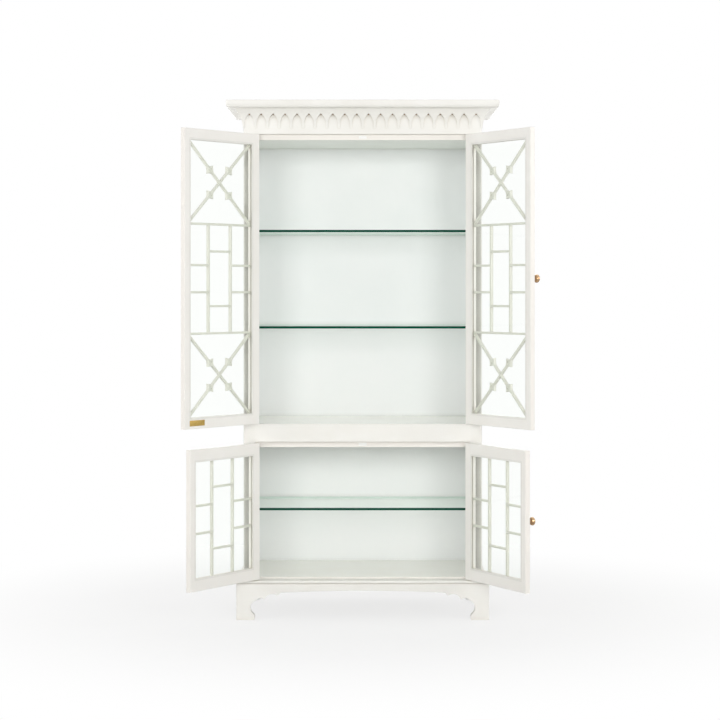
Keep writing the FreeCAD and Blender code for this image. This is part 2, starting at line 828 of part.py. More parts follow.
def short_bars(side, level, middle_spacing, side_spacing):
    """Short bars between the uprights, and from them to the frame."""
    half = "fret_bar_width / 2"
    left_column = "pane_middle - fret_column_spacing / 2"
    right_column = "pane_middle + fret_column_spacing / 2"
    stretches = [
        (f"{left_column} + {half}", f"{right_column} - {half}", middle_spacing),
        ("pane_near", f"{left_column} - {half}", side_spacing),
        (f"{right_column} + {half}", "pane_far", side_spacing),
    ]
    bars = []
    for near, far, spacing in stretches:
        for sign in ("-", "+"):
            bars.append(bar_across(side, near, far, f"{level} {sign} {spacing} / 2"))
    return bars


def diagonal(side, low, high, rising):
    """A bar from corner to corner of a panel, trimmed to the panel's edges."""
    trim_x = "fret_bar_width / 2 / diagonal_rise"
    trim_z = "fret_bar_width / 2 / diagonal_run"
    start, finish = (low, high) if rising else (high, low)
    sign = 1 if rising else -1
    corners = [
        ("pane_near", start),
        (f"pane_near + {trim_x}", start),
        ("pane_far", f"{finish} - {sign} * {trim_z}"),
        ("pane_far", finish),
        (f"pane_far - {trim_x}", finish),
        ("pane_near", f"{start} + {sign} * {trim_z}"),
    ]
    return [(f"{side} * ({x})", z) for x, z in corners]


def boss(side, middle, rising, outward):
    """A cusped lozenge across a diagonal bar. Each side is bent inwards at its middle."""
    slope = 1 if rising else -1
    outline = []
    for forward, across in (("boss_length / 2", "0"), ("boss_waist", "boss_waist"),
                            ("0", "boss_breadth / 2"), ("-boss_waist", "boss_waist"),
                            ("-boss_length / 2", "0"), ("-boss_waist", "-boss_waist"),
                            ("0", "-boss_breadth / 2"), ("boss_waist", "-boss_waist")):
        forward = f"({forward} + {outward} * boss_offset)"
        x = f"pane_middle + {forward} * diagonal_run - ({across}) * {slope} * diagonal_rise"
        z = f"{middle} + {forward} * {slope} * diagonal_rise + ({across}) * diagonal_run"
        outline.append((f"{side} * ({x})", z))
    return outline


def fretwork(label, door):
    side = door["side"]
    pane_low, pane_high = door["pane"]
    level = door["level"]
    body = new_body(label)
    spacings = (door["stage"] + "_middle_bar_spacing", door["stage"] + "_side_bar_spacing")
    if door["stage"] == "lower":
        pad(body, label + "_columns", "XZ", columns(side, pane_low, pane_high), *FRET_DEPTH)
        pad(body, label + "_short_bars", "XZ", short_bars(side, level, *spacings), *FRET_DEPTH)
        return hang(body, door)
    half = "fret_bar_width / 2"
    low_bar = f"{level} - fret_band_height / 2"
    high_bar = f"{level} + fret_band_height / 2"
    long_bars = [bar_across(side, "pane_near", "pane_far", bar) for bar in (low_bar, high_bar)]
    pad(body, label + "_long_bars", "XZ", long_bars, *FRET_DEPTH)
    pad(body, label + "_columns", "XZ", columns(side, f"{low_bar} + {half}", f"{high_bar} - {half}"),
        *FRET_DEPTH)
    pad(body, label + "_short_bars", "XZ", short_bars(side, level, *spacings), *FRET_DEPTH)
    panels = {
        "foot": (pane_low, f"{pane_low} + panel_height"),
        "head": (f"{pane_high} - panel_height", pane_high),
    }
    for place, (low, high) in panels.items():
        bosses = []
        for rising, name in ((True, "rising"), (False, "falling")):
            pad(body, f"{label}_{place}_{name}", "XZ", [diagonal(side, low, high, rising)], *FRET_DEPTH)
            bosses += [boss(side, f"({low} + panel_height / 2)", rising, outward) for outward in (-1, 1)]
        pad(body, f"{label}_{place}_bosses", "XZ", bosses, *BOSS_DEPTH)
    return hang(body, door)


# Hinges. A leaf is a plate with knuckles, drawn from the pin.


def knuckles(name, plate_x, low, high, spans, bored):
    """One hinge leaf: its plate, and a knuckle with a neck for each span of height."""
    parts = [box(name + "_plate", plate_x, ("leaf_start", "leaf_start + leaf_width"), (low, high))]
    for number, (bottom, top) in enumerate(spans):
        parts.append(box(f"{name}_neck_{number}", plate_x, ("0", "leaf_start"), (bottom, top)))
        parts.append(roll(f"{name}_knuckle_{number}", "knuckle_radius", bottom, f"({top}) - ({bottom})"))
    if not bored:
        parts.append(roll(name + "_pin", "hinge_pin_radius", low, "hinge_height"))
        return join(name, parts)
    bore = roll(name + "_bore", "hinge_bore_radius", f"{low} - overrun", "hinge_height + 2 * overrun")
    return cut(name, join(name + "_blank", parts), bore)


def hinge_spans(level):
    """Heights of the lower, middle and upper knuckle of a hinge."""
    third = "hinge_height / 3"
    low = f"{level} - hinge_height / 2"
    high = f"{level} + hinge_height / 2"
    return [
        (low, f"{low} + {third} - knuckle_gap / 2"),
        (f"{low} + {third} + knuckle_gap / 2", f"{high} - {third} - knuckle_gap / 2"),
        (f"{high} - {third} + knuckle_gap / 2", high),
    ]


def door_leaves(label, door):
    leaves = []
    for number, level in enumerate(hinge_levels(door), 1):
        spans = hinge_spans(level)
        plate = along(door["side"], "door_hinge_gap - leaf_thickness", "door_hinge_gap")
        leaves.append(knuckles(f"{label}_{number}", plate, spans[0][0], spans[2][1], [spans[1]], True))
    return hang(group(label, leaves), door)


def frame_leaves(name, door):
    side = door["side"]
    leaves = []
    for number, level in enumerate(hinge_levels(door), 1):
        spans = hinge_spans(level)
        plate = along(side, "0", "leaf_thickness")
        leaf = knuckles(f"{name}_{number}", plate, spans[0][0], spans[2][1], [spans[0], spans[2]], False)
        bind(leaf, "Placement.Base.x", f"{-side} * half_opening")
        bind(leaf, "Placement.Base.y", "front - pin_projection")
        leaves.append(leaf)
    return leaves


# Knobs. A knob is turned in one piece with its shank, which is driven into the meeting stile.


def knob(label, door):
    body = new_body(label)
    face = "pin_projection"
    tip = f"{face} + shank_length"
    crown = f"{face} - knob_reach"
    profile = [
        ("0", tip),
        ("shank_radius", tip),
        ("shank_radius", face),
        ("knob_rose_radius", face),
        ("knob_rose_radius", f"{face} - knob_rose_thickness"),
        ("knob_neck_radius", f"{face} - knob_rose_thickness"),
        ("knob_neck_radius", f"{crown} + knob_rim_thickness"),
        ("knob_radius", f"{crown} + knob_rim_thickness"),
        ("knob_radius", crown),
        ("0", crown),
    ]
    sketch = draw(body, label + "_profile", "XY", [profile], "0")
    turning = body.newObject("PartDesign::Revolution", label + "_revolution")
    turning.Profile = sketch
    turning.ReferenceAxis = (sketch, ["V_Axis"])
    turning.Angle = 360
    return hang(body, door, f"{door['side']} * knob_place", door["level"])


def shank_hole(body, label, door):
    """The blind hole in the meeting stile for the knob's shank."""
    reach = "(shank_radius + shank_clearance)"
    x = f"{door['side']} * knob_place"
    level = door["level"]
    ring = [
        (f"{x} + {reach}", level, f"{x}", f"{level} + {reach}"),
        (f"{x} - {reach}", level, f"{x}", f"{level} - {reach}"),
    ]
    pocket(body, label + "_shank_hole", "XZ", [ring],
           "pin_projection - overrun", "pin_projection + shank_length + shank_clearance")


frame_side_leaves = []
for name, door in DOORS.items():
    side = door["side"]
    pane_low, pane_high = door["pane"]
    stile(name + "_hinge_stile", door, "door_hinge_gap", "pane_near", True)
    meeting = stile(name + "_meeting_stile", door, "pane_far", "leaf_end", False)
    if side < 0:
        shank_hole(meeting, name + "_meeting_stile", door)
        knob(name + "_knob", door)
    rails = [rail(name + "_foot_rail", side, door["foot"], pane_low, True),
             rail(name + "_head_rail", side, pane_high, door["head"], False)]
    hang(group(name + "_rails", rails), door)
    hang(group(name + "_glazing_beads", bead_strips(name + "_bead", door)), door)
    edge = "(rebate_width - pane_edge_gap)"
    pane = box(name + "_pane", along(side, f"pane_near - {edge}", f"pane_far + {edge}"),
               ("seat_face", "pane_back"), (f"{pane_low} - {edge}", f"{pane_high} + {edge}"))
    hang(group(name + "_glass", [pane]), door)
    fretwork(name + "_fretwork", door)
    door_leaves(name + "_hinge_leaves", door)
    frame_side_leaves += frame_leaves(name + "_frame_leaf", door)
group("frame_hinge_leaves", frame_side_leaves)

# Small plate inside the upper left door, low down by the meeting edge
plate_door = DOORS["upper_left"]
plate_middle = "upper_door_foot + upper_rail_width / 2"
plate = box("plate_blank", ("leaf_end - plate_edge_inset - plate_length", "leaf_end - plate_edge_inset"),
            ("inner_face", "inner_face + plate_thickness"),
            (f"{plate_middle} - plate_height / 2", f"{plate_middle} + plate_height / 2"))
hang(group("upper_left_plate", [plate]), plate_door)

doc.recompute()

failed = [item.Name for item in doc.Objects if "Invalid" in item.State or "Error" in item.State]
if failed:
    raise RuntimeError("features that failed: " + ", ".join(failed))
for piece in pieces:
    if piece.Shape.isNull() or not piece.Shape.isValid():
        raise RuntimeError("no valid shape: " + piece.Label)

os.makedirs("parts", exist_ok=True)
for piece in pieces:
    piece.Shape.exportStep(f"parts/{piece.Label}.step")
print(len(pieces), "sub-parts")
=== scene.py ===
import json
import math

import bmesh
import bpy
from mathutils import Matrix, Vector


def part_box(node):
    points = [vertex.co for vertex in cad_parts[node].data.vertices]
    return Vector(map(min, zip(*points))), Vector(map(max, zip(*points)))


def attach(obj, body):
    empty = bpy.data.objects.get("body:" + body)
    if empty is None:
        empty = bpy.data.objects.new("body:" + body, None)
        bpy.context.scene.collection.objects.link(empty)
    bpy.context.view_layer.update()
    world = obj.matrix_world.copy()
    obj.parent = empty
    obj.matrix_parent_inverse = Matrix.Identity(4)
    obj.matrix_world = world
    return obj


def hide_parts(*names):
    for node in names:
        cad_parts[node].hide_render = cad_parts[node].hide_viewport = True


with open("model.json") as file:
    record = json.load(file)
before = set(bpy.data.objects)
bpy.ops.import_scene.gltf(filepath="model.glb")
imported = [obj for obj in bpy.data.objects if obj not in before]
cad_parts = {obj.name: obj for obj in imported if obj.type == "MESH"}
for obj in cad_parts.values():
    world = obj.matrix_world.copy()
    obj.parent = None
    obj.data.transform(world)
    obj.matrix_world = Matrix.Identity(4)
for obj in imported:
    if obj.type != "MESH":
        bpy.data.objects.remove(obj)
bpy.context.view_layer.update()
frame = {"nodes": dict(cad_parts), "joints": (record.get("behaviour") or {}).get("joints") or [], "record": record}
nodes = frame["nodes"]
slots = {entry["node"]: entry["material_slot"] for entry in frame["record"]["subparts"]}

# Materials. Their lengths are in metres, as in the frame.


def shade(red, green, blue):
    """A colour as the eye reads it, from 0 to 255, turned into linear light."""
    linear = []
    for channel in (red, green, blue):
        part = channel / 255
        linear.append(part / 12.92 if part <= 0.04045 else ((part + 0.055) / 1.055) ** 2.4)
    return (*linear, 1.0)


class Graph:
    """A node tree, with short calls to add to it. A socket is fed a plain value or another socket."""

    def __init__(self, tree):
        self.tree = tree

    def add(self, kind, **settings):
        node = self.tree.nodes.new(kind)
        for name, value in settings.items():
            setattr(node, name, value)
        return node

    def link(self, source, target):
        self.tree.links.new(source, target)

    def feed(self, socket, value):
        if hasattr(value, "links"):
            self.link(value, socket)
        else:
            socket.default_value = value

    def compute(self, operation, *values):
        node = self.add("ShaderNodeMath", operation=operation)
        for socket, value in zip(node.inputs, values):
            self.feed(socket, value)
        return node.outputs["Value"]

    def choose(self, factor, first, second):
        """Mix two shaders."""
        node = self.add("ShaderNodeMixShader")
        for socket, source in zip(node.inputs, (factor, first, second)):
            self.link(source, socket)
        return node.outputs["Shader"]


class Look(Graph):
    """A material, seen through its node tree."""

    def __init__(self, name):
        self.material = bpy.data.materials.new(name)
        self.material.use_nodes = True
        super().__init__(self.material.node_tree)
        self.shader = self.tree.nodes["Principled BSDF"]
        self.output = self.tree.nodes["Material Output"]

    def fix(self, **values):
        """Set the shader's own sockets, with an underscore for each space."""
        for name, value in values.items():
            self.shader.inputs[name.replace("_", " ")].default_value = value

    def coordinates(self, stretch=(1, 1, 1)):
        """The piece's own coordinates, stretched."""
        mapping = self.add("ShaderNodeMapping")
        mapping.inputs["Scale"].default_value = stretch
        self.link(self.add("ShaderNodeTexCoord").outputs["Object"], mapping.inputs["Vector"])
        return mapping.outputs["Vector"]

    def noise(self, scale, detail, stretch=(1, 1, 1), roughness=0.5):
        node = self.add("ShaderNodeTexNoise")
        node.inputs["Scale"].default_value = scale
        node.inputs["Detail"].default_value = detail
        node.inputs["Roughness"].default_value = roughness
        self.link(self.coordinates(stretch), node.inputs["Vector"])
        return node.outputs["Fac"]

    def openness(self, reach):
        """From 0 in a tight hollow to 1 where nothing stands within reach."""
        node = self.add("ShaderNodeAmbientOcclusion", samples=6)
        node.inputs["Distance"].default_value = reach
        return node.outputs["AO"]

    def spread(self, factor, low, high, from_low=0.3, from_high=0.7, ease="LINEAR"):
        """Run from low to high as the factor runs over its own range, which for a noise is 0.3 to 0.7."""
        node = self.add("ShaderNodeMapRange", interpolation_type=ease)
        node.inputs["From Min"].default_value = from_low
        node.inputs["From Max"].default_value = from_high
        node.inputs["To Min"].default_value = low
        node.inputs["To Max"].default_value = high
        self.link(factor, node.inputs["Value"])
        return node.outputs["Result"]

    def blend(self, factor, first, second):
        """Mix two colours."""
        node = self.add("ShaderNodeMix", data_type="RGBA")
        for name, kind, value in (("Factor", "VALUE", factor), ("A", "RGBA", first), ("B", "RGBA", second)):
            socket = [item for item in node.inputs if item.name == name and item.type == kind][0]
            self.feed(socket, value)
        return [item for item in node.outputs if item.type == "RGBA"][0]

    def bump(self, height, strength, distance):
        node = self.add("ShaderNodeBump")
        node.inputs["Strength"].default_value = strength
        node.inputs["Distance"].default_value = distance
        self.link(height, node.inputs["Height"])
        return node.outputs["Normal"]


# The brush marks are fine across and long in one direction: up, or across the cabinet.
UPRIGHT_GRAIN = (260, 260, 9)
LEVEL_GRAIN = (9, 260, 260)

# Each paint has a colour for its body and one for where it has worn.
FRAME_WHITE = (shade(234, 233, 229), shade(230, 228, 222))
# The cornice returns are painted paler than the frame: painted light on their undersides.
RETURN_LIT_WHITE = (shade(248, 247, 243), shade(245, 243, 238))
# The doors are painted paler than the frame: painted light on their faces.
DOOR_LIT_WHITE = (shade(243, 241, 237), shade(239, 236, 231))
# The fretwork is painted duller than the frame: painted shade on the bars.
FRET_SHADED_WHITE = (shade(227, 226, 218), shade(222, 221, 211))
# The eyes of the bosses are painted dark: painted shade in their sunk bands.
FRET_EYE_SHADE_TONES = (shade(182, 179, 160), shade(170, 167, 148))
# The lining is painted paler than the frame: painted light inside the bays.
INSIDE_LIT_WHITE = (shade(252, 253, 253), shade(249, 251, 251))
# The bays' ceilings and floors are painted paler still: painted light on the level boards.
HEAD_BOARD_LIT_WHITE = (shade(247, 248, 243), shade(243, 244, 238))
FLOOR_BOARD_LIT_WHITE = (shade(254, 252, 245), shade(252, 249, 240))
HINGE_WHITE = (shade(244, 241, 235), shade(238, 234, 226))
# The arch tips are painted dark brown: painted shade where each recess is deepest.
ARCH_TIP_SHADE_TONES = (shade(196, 170, 146), shade(182, 155, 131))

# Painted shade: the tone of an outer face or edge that is kept darker than the rest, and the tones laid into
# hollows.
PAINTED_FACE_SHADE = shade(235, 231, 225)
HOLLOW_SHADE = shade(204, 196, 180)
HOLLOW_SHADE_INSIDE = shade(214, 216, 206)

# The weight of a clear coat over the paint, and how rough it is.
SATIN_COAT = (0.15, 0.3)
GLOSSY_COAT = (0.8, 0.12)
EDGE_ROUNDING = 0.0012

# The painted shade on an outer face starts, and is full, this far inside the outermost plane.
FACE_SHADE_START = 0.0015
FACE_SHADE_FULL = 0.0005

# No door hides the uprights at the waist rail. They take a share of the painted shade near its middle, and all
# of it from the full distance on.
WAIST_MIDDLE = 0.78
WAIST_SHARE = 0.25
WAIST_NEAR = 0.036
WAIST_FULL = 0.05
# The painted shade ends at the head of the upper opening, with a short fade.
OPENING_HEAD = 2.034
HEAD_FADE = 0.004


def kept_behind_doors(paint, depth):
    """Hold the painted shade to where a door stands: little of it at the waist, and none over the upper opening.
    """
    split = paint.add("ShaderNodeSeparateXYZ")
    paint.link(paint.coordinates(), split.inputs["Vector"])
    height = split.outputs["Z"]
    from_waist = paint.compute("ABSOLUTE", paint.compute("SUBTRACT", height, WAIST_MIDDLE))
    off_waist = paint.spread(from_waist, WAIST_SHARE, 1, WAIST_NEAR, WAIST_FULL)
    under_head = paint.spread(height, 1, 0, OPENING_HEAD - HEAD_FADE, OPENING_HEAD)
    return paint.compute("MULTIPLY", paint.compute("MULTIPLY", depth, off_waist), under_head)


def paint_face_shade(paint, colour, direction, reach):
    """Paint shade onto the outermost plane of the piece in a direction, which is a face or a long edge of it."""
    along = paint.add("ShaderNodeVectorMath", operation="DOT_PRODUCT")
    paint.link(paint.coordinates(), along.inputs[0])
    along.inputs[1].default_value = direction
    shaded = paint.spread(along.outputs["Value"], 0, 1, reach - FACE_SHADE_START, reach - FACE_SHADE_FULL)
    return paint.blend(shaded, colour, PAINTED_FACE_SHADE)


def lacquer(name, tones, grain, hollow=HOLLOW_SHADE, darkest=0.5, reach=0.02, open_from=0.9, coat=SATIN_COAT,
            behind_doors=False, face_shade=None):
    """Satin paint over wood: faint brush drag and soft mottling, with painted shade in the hollows.

    The painted shade covers the darkest share of the paint in tight hollows, and none of it where the
    surface is open from open_from up. The face_shade argument is a direction and how far the piece
    reaches in it; the outermost face there takes painted shade.
    """
    body, worn = tones
    paint = Look(name)
    mottle = paint.noise(scale=7, detail=4)
    drag = paint.noise(scale=1, detail=5, stretch=grain, roughness=0.6)
    soft = paint.blend(paint.spread(mottle, 0, 1), body, worn)
    brushed = paint.blend(paint.spread(drag, 0, 0.5), soft, worn)
    # Painted shade: a darker tone laid in where the surface is closed in.
    depth = paint.spread(paint.openness(reach), darkest, 0, from_low=0.2, from_high=open_from)
    if behind_doors:
        depth = kept_behind_doors(paint, depth)
    colour = paint.blend(depth, brushed, hollow)
    # Painted shade on the chosen outer face or edge.
    if face_shade:
        colour = paint_face_shade(paint, colour, *face_shade)
    paint.link(colour, paint.shader.inputs["Base Color"])
    paint.link(paint.spread(mottle, low=0.34, high=0.46), paint.shader.inputs["Roughness"])
    soft_edge = paint.add("ShaderNodeBevel", samples=4)
    soft_edge.inputs["Radius"].default_value = EDGE_ROUNDING
    brush_marks = paint.bump(drag, strength=0.1, distance=0.0006)
    paint.link(soft_edge.outputs["Normal"], brush_marks.node.inputs["Normal"])
    paint.link(brush_marks, paint.shader.inputs["Normal"])
    coat_weight, coat_roughness = coat
    paint.fix(Specular_IOR_Level=0.45, Coat_Weight=coat_weight, Coat_Roughness=coat_roughness)
    return paint.material


# How much glass mirrors face on and edge on, and how late it turns from one to the other.
MIRRORED_FACE_ON = 0.015
MIRRORED_EDGE_ON = 0.6
SLANT_POWER = 5
GLASS_MIRROR = (shade(252, 254, 252), shade(244, 248, 245))


def glass(name, tint):
    """A sheet of glass: it lets light straight through, and mirrors more of the room at a slant."""
    sheet = Look(name)
    smear = sheet.noise(scale=3.5, detail=2)
    sheet.link(sheet.blend(sheet.spread(smear, 0, 1), *GLASS_MIRROR), sheet.shader.inputs["Base Color"])
    sheet.link(sheet.spread(smear, low=0.02, high=0.05), sheet.shader.inputs["Roughness"])
    sheet.fix(Metallic=1.0)
    clear = sheet.add("ShaderNodeBsdfTransparent")
    clear.inputs["Color"].default_value = tint
    slant = sheet.add("ShaderNodeLayerWeight")
    slant.inputs["Blend"].default_value = 0.5
    steep = sheet.compute("POWER", slant.outputs["Facing"], SLANT_POWER)
    mirroring = sheet.spread(steep, MIRRORED_FACE_ON, MIRRORED_EDGE_ON, 0, 1)
    outside = sheet.compute("SUBTRACT", 1, sheet.add("ShaderNodeNewGeometry").outputs["Backfacing"])
    amount = sheet.compute("MULTIPLY", mirroring, outside)
    sheet.link(sheet.choose(amount, clear.outputs["BSDF"], sheet.shader.outputs["BSDF"]),
               sheet.output.inputs["Surface"])
    return sheet.material


def cut_edge(name, body, streaked, rough_low, rough_high):
    """A polished cut edge of thick glass, with faint streaks across it."""
    edge = Look(name)
    streak = edge.noise(scale=1, detail=3, stretch=(26, 26, 300))
    edge.link(edge.blend(edge.spread(streak, 0, 1), body, streaked), edge.shader.inputs["Base Color"])
    edge.link(edge.spread(streak, rough_low, rough_high), edge.shader.inputs["Roughness"])
    edge.link(edge.bump(streak, strength=0.05, distance=0.0002), edge.shader.inputs["Normal"])
    edge.fix(Specular_IOR_Level=0.05)
    return edge.material


# Painted shade in the metal's hollows: how far it looks, and the share of the dull tone left at its darkest.
METAL_HOLLOW_REACH = 0.015
METAL_HOLLOW_SHARE = 0.35


def metal(name, bright, dull, rough_low, rough_high):
    """Polished metal with a little tarnish and fine scratches, and painted shade that darkens its hollows."""
    piece = Look(name)
    tarnish = piece.noise(scale=160, detail=4)
    scratch = piece.noise(scale=900, detail=2, stretch=(1, 1, 0.2))
    polished = piece.blend(piece.spread(tarnish, 0, 1), bright, dull)
    darker = tuple(part * METAL_HOLLOW_SHARE for part in dull[:3]) + (1.0,)
    # Painted shade in the hollows.
    depth = piece.spread(piece.openness(METAL_HOLLOW_REACH), 0.8, 0, from_low=0.3, from_high=0.9)
    piece.link(piece.blend(depth, polished, darker), piece.shader.inputs["Base Color"])
    piece.link(piece.spread(tarnish, rough_low, rough_high), piece.shader.inputs["Roughness"])
    piece.link(piece.bump(scratch, strength=0.05, distance=0.0002), piece.shader.inputs["Normal"])
    piece.fix(Metallic=1.0)
    return piece.material


def moulded(name, body, dull):
    """Matt moulded plastic."""
    piece = Look(name)
    pores = piece.noise(scale=500, detail=3)
    piece.link(piece.blend(piece.spread(pores, 0, 1), body, dull), piece.shader.inputs["Base Color"])
    piece.link(piece.spread(pores, low=0.45, high=0.6), piece.shader.inputs["Roughness"])
    piece.link(piece.bump(pores, strength=0.1, distance=0.0002), piece.shader.inputs["Normal"])
    return piece.material


white_upright = lacquer("white_lacquer_upright", FRAME_WHITE, UPRIGHT_GRAIN)
white_level = lacquer("white_lacquer_level", FRAME_WHITE, LEVEL_GRAIN)
# The doors take the paler white, which is painted light.
door_upright = lacquer("door_lacquer_upright", DOOR_LIT_WHITE, UPRIGHT_GRAIN)
door_level = lacquer("door_lacquer_level", DOOR_LIT_WHITE, LEVEL_GRAIN)
# The frame's uprights stand in the narrow angle behind an open door, and a dark painted shade lies on them there.
shaded_jamb = lacquer("white_lacquer_jamb", FRAME_WHITE, UPRIGHT_GRAIN, shade(122, 120, 111), darkest=1.0,
                     reach=0.09, open_from=0.85, behind_doors=True)
# The cove takes a warm painted shade in the recesses of its arches.
white_cove = lacquer("white_lacquer_cove", FRAME_WHITE, LEVEL_GRAIN, shade(216, 206, 190), darkest=0.3)
# The returns: painted light in their paler white, with little painted shade.
lit_return = lacquer("white_lacquer_return", RETURN_LIT_WHITE, LEVEL_GRAIN, darkest=0.15)
# Painted shade: the fretwork's duller white.
fret_shaded_white = lacquer("fretwork_lacquer", FRET_SHADED_WHITE, UPRIGHT_GRAIN, darkest=0)
# Painted shade for the eyes of the bosses.
fret_eye_shade = lacquer("fretwork_eye", FRET_EYE_SHADE_TONES, UPRIGHT_GRAIN, shade(140, 136, 118))
inside = lacquer("inside_lacquer", INSIDE_LIT_WHITE, UPRIGHT_GRAIN, HOLLOW_SHADE_INSIDE)
hinge_paint = lacquer("hinge_lacquer", HINGE_WHITE, UPRIGHT_GRAIN)
arch_tip_shade = lacquer("arch_tip_shade", ARCH_TIP_SHADE_TONES, UPRIGHT_GRAIN, shade(164, 137, 112))
door_pane = glass("door_glass", shade(254, 255, 254))
shelf_pane = glass("shelf_glass", shade(252, 255, 253))
shelf_front_edge = cut_edge("shelf_front_edge", shade(3, 66, 50), shade(8, 80, 62), 0.12, 0.2)
shelf_other_edge = cut_edge("shelf_other_edge", shade(216, 233, 225), shade(206, 225, 216), 0.2, 0.3)
knob_brass = metal("knob_brass", shade(222, 190, 150), shade(180, 140, 104), 0.08, 0.2)
plate_brass = metal("plate_brass", shade(208, 177, 104), shade(194, 162, 92), 0.3, 0.45)
bracket_metal = metal("bracket_metal", shade(205, 203, 198), shade(176, 173, 168), 0.2, 0.35)
catch_plastic = moulded("catch_plastic", shade(246, 246, 244), shade(236, 236, 233))

BY_SLOT = {
    "white_lacquer": white_upright,
    "carcass_lacquer": inside,
    "fretwork_lacquer": fret_shaded_white,
    "door_glass": door_pane,
    "shelf_glass": shelf_pane,
    "hinge_metal": hinge_paint,
    "bracket_metal": bracket_metal,
    "catch_plastic": catch_plastic,
    "knob_brass": knob_brass,
    "plate_brass": plate_brass,
}
LEVEL_NODES = ("rails", "rail", "cornice_board", "base_moulding", "front_apron")
BY_NODE = {
    "left_frame_stile": shaded_jamb,
    "right_frame_stile": shaded_jamb,
    "cornice_front": white_cove,
    "cornice_returns": lit_return,
}

# The carcass boards are lacquered one by one, since each has painted shade on a face of its own:
# the front edges of the boards across, and the outer faces of the sides and the back.
HEAD_BOARD = {"tones": HEAD_BOARD_LIT_WHITE, "grain": LEVEL_GRAIN, "hollow": shade(224, 224, 216)}
FLOOR_BOARD = {"tones": FLOOR_BOARD_LIT_WHITE, "grain": LEVEL_GRAIN, "hollow": shade(214, 212, 200),
               "coat": GLOSSY_COAT}
LINING = {"tones": INSIDE_LIT_WHITE, "grain": UPRIGHT_GRAIN, "hollow": HOLLOW_SHADE_INSIDE}
FRONT, BACK, LEFT, RIGHT = (0, -1, 0), (0, 1, 0), (-1, 0, 0), (1, 0, 0)
CARCASS_BOARDS = {
    "top_panel": (HEAD_BOARD, FRONT),
    "lower_top_panel": (HEAD_BOARD, FRONT),
    "upper_floor": (FLOOR_BOARD, FRONT),
    "lower_floor": (FLOOR_BOARD, FRONT),
    "left_side_panel": (LINING, LEFT),
    "right_side_panel": (LINING, RIGHT),
    "upper_back_panel": (LINING, BACK),
    "lower_back_panel": (LINING, BACK),
}


def look_of(name):
    """The material of a node in the frame."""
    if name in BY_NODE:
        return BY_NODE[name]
    if name in CARCASS_BOARDS:
        paint, direction = CARCASS_BOARDS[name]
        reach = max(Vector(direction).dot(corner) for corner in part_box(name))
        return lacquer(name + "_lacquer", **paint, face_shade=(direction, reach))
    look = BY_SLOT[slots[name]]
    if look is white_upright:
        level = name.endswith(LEVEL_NODES)
        if name.endswith(("_stile", "_rails")):
            return door_level if level else door_upright
        return white_level if level else white_upright
    return look


for name, piece in nodes.items():
    look = look_of(name)
    piece.data.materials.clear()
    piece.data.materials.append(look)

# Shapes that are finer than the frame's solids. They are drawn in millimetres.


class Plane:
    """A flat place to draw on: along it, into the piece, and up."""

    def __init__(self, origin, along, inward):
        self.origin = Vector(origin)
        self.along = Vector(along)
        self.inward = Vector(inward)

    def at(self, along, depth, up):
        place = self.origin + self.along * (along / 1000) + self.inward * (depth / 1000)
        return place + Vector((0, 0, up / 1000))


def drawn_in(outline, distance):
    """An outline that runs anticlockwise, drawn in by a distance along every side."""
    moved = []
    for index, corner in enumerate(outline):
        back = (corner - outline[index - 1]).normalized()
        forth = (outline[(index + 1) % len(outline)] - corner).normalized()
        first = Vector((-back.y, back.x))
        second = Vector((-forth.y, forth.x))
        moved.append(corner + (first + second) * (distance / (1 + first.dot(second))))
    return moved


def rectangle(near, far, low, high):
    return [Vector((near, low)), Vector((far, low)), Vector((far, high)), Vector((near, high))]


def rounded_slab(plane, outline, low, high, radius, steps=3):
    """Loops of a slab between two depths, with the edges of both faces rounded."""
    turns = [math.pi / 2 * step / steps for step in range(steps + 1)]
    loops = []
    for turn in turns:
        ring = drawn_in(outline, radius * (1 - math.sin(turn)))
        loops.append([plane.at(x, low + radius * (1 - math.cos(turn)), z) for x, z in ring])
    for turn in reversed(turns):
        ring = drawn_in(outline, radius * (1 - math.sin(turn)))
        loops.append([plane.at(x, high - radius * (1 - math.cos(turn)), z) for x, z in ring])
    return loops


def turned(plane, along, up, depth, outward, profile, count=40):
    """Loops of a turned piece that stands on a plane. The profile gives radius and height."""
    turns = [2 * math.pi * step / count for step in range(count)]
    loops = []
    for radius, height in profile:
        loops.append([plane.at(along + radius * math.cos(turn), depth + outward * height,
                               up + radius * math.sin(turn)) for turn in turns])
    return loops


class Form:
    """Closed shapes gathered into one piece."""

    def __init__(self):
        self.mesh = bmesh.new()

    def loft(self, loops, sunk=0):
        """A closed shape through the loops. That many bands at each end, if any, take the second look."""
        rings = [[self.mesh.verts.new(point) for point in loop] for loop in loops]
        count = len(rings[0])
        ends = [self.mesh.faces.new(rings[0]), self.mesh.faces.new(rings[-1])]
        for band, (low, high) in enumerate(zip(rings, rings[1:])):
            for index in range(count):
                after = (index + 1) % count
                face = self.mesh.faces.new((low[index], low[after], high[after], high[index]))
                if band < sunk or band >= len(rings) - 1 - sunk:
                    face.material_index = 1
        for face in ends:
            face.material_index = 1 if sunk else 0

    def place(self, name, body, slot, looks, stands_for=(), smooth_angle=35):
        """Turn the shapes into a piece that moves with a body, in place of the nodes it stands for."""
        bmesh.ops.recalc_face_normals(self.mesh, faces=self.mesh.faces)
        data = bpy.data.meshes.new(name)
        self.mesh.to_mesh(data)
        self.mesh.free()
        for look in looks:
            data.materials.append(look)
        data.shade_smooth()
        data.set_sharp_from_angle(angle=math.radians(smooth_angle))
        piece = bpy.data.objects.new(name, data)
        bpy.context.scene.collection.objects.link(piece)
        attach(piece, body)
        if stands_for:
            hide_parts(*stands_for)
        return piece


# How far each door stands open, in degrees, and the depths of its faces behind the hinge pin.
OPENING = {"upper_left": 128.8, "upper_right": 122.3, "lower_left": 125.2, "lower_right": 119.3}
DOOR_OUTER_FACE = 4
DOOR_INNER_FACE = 26


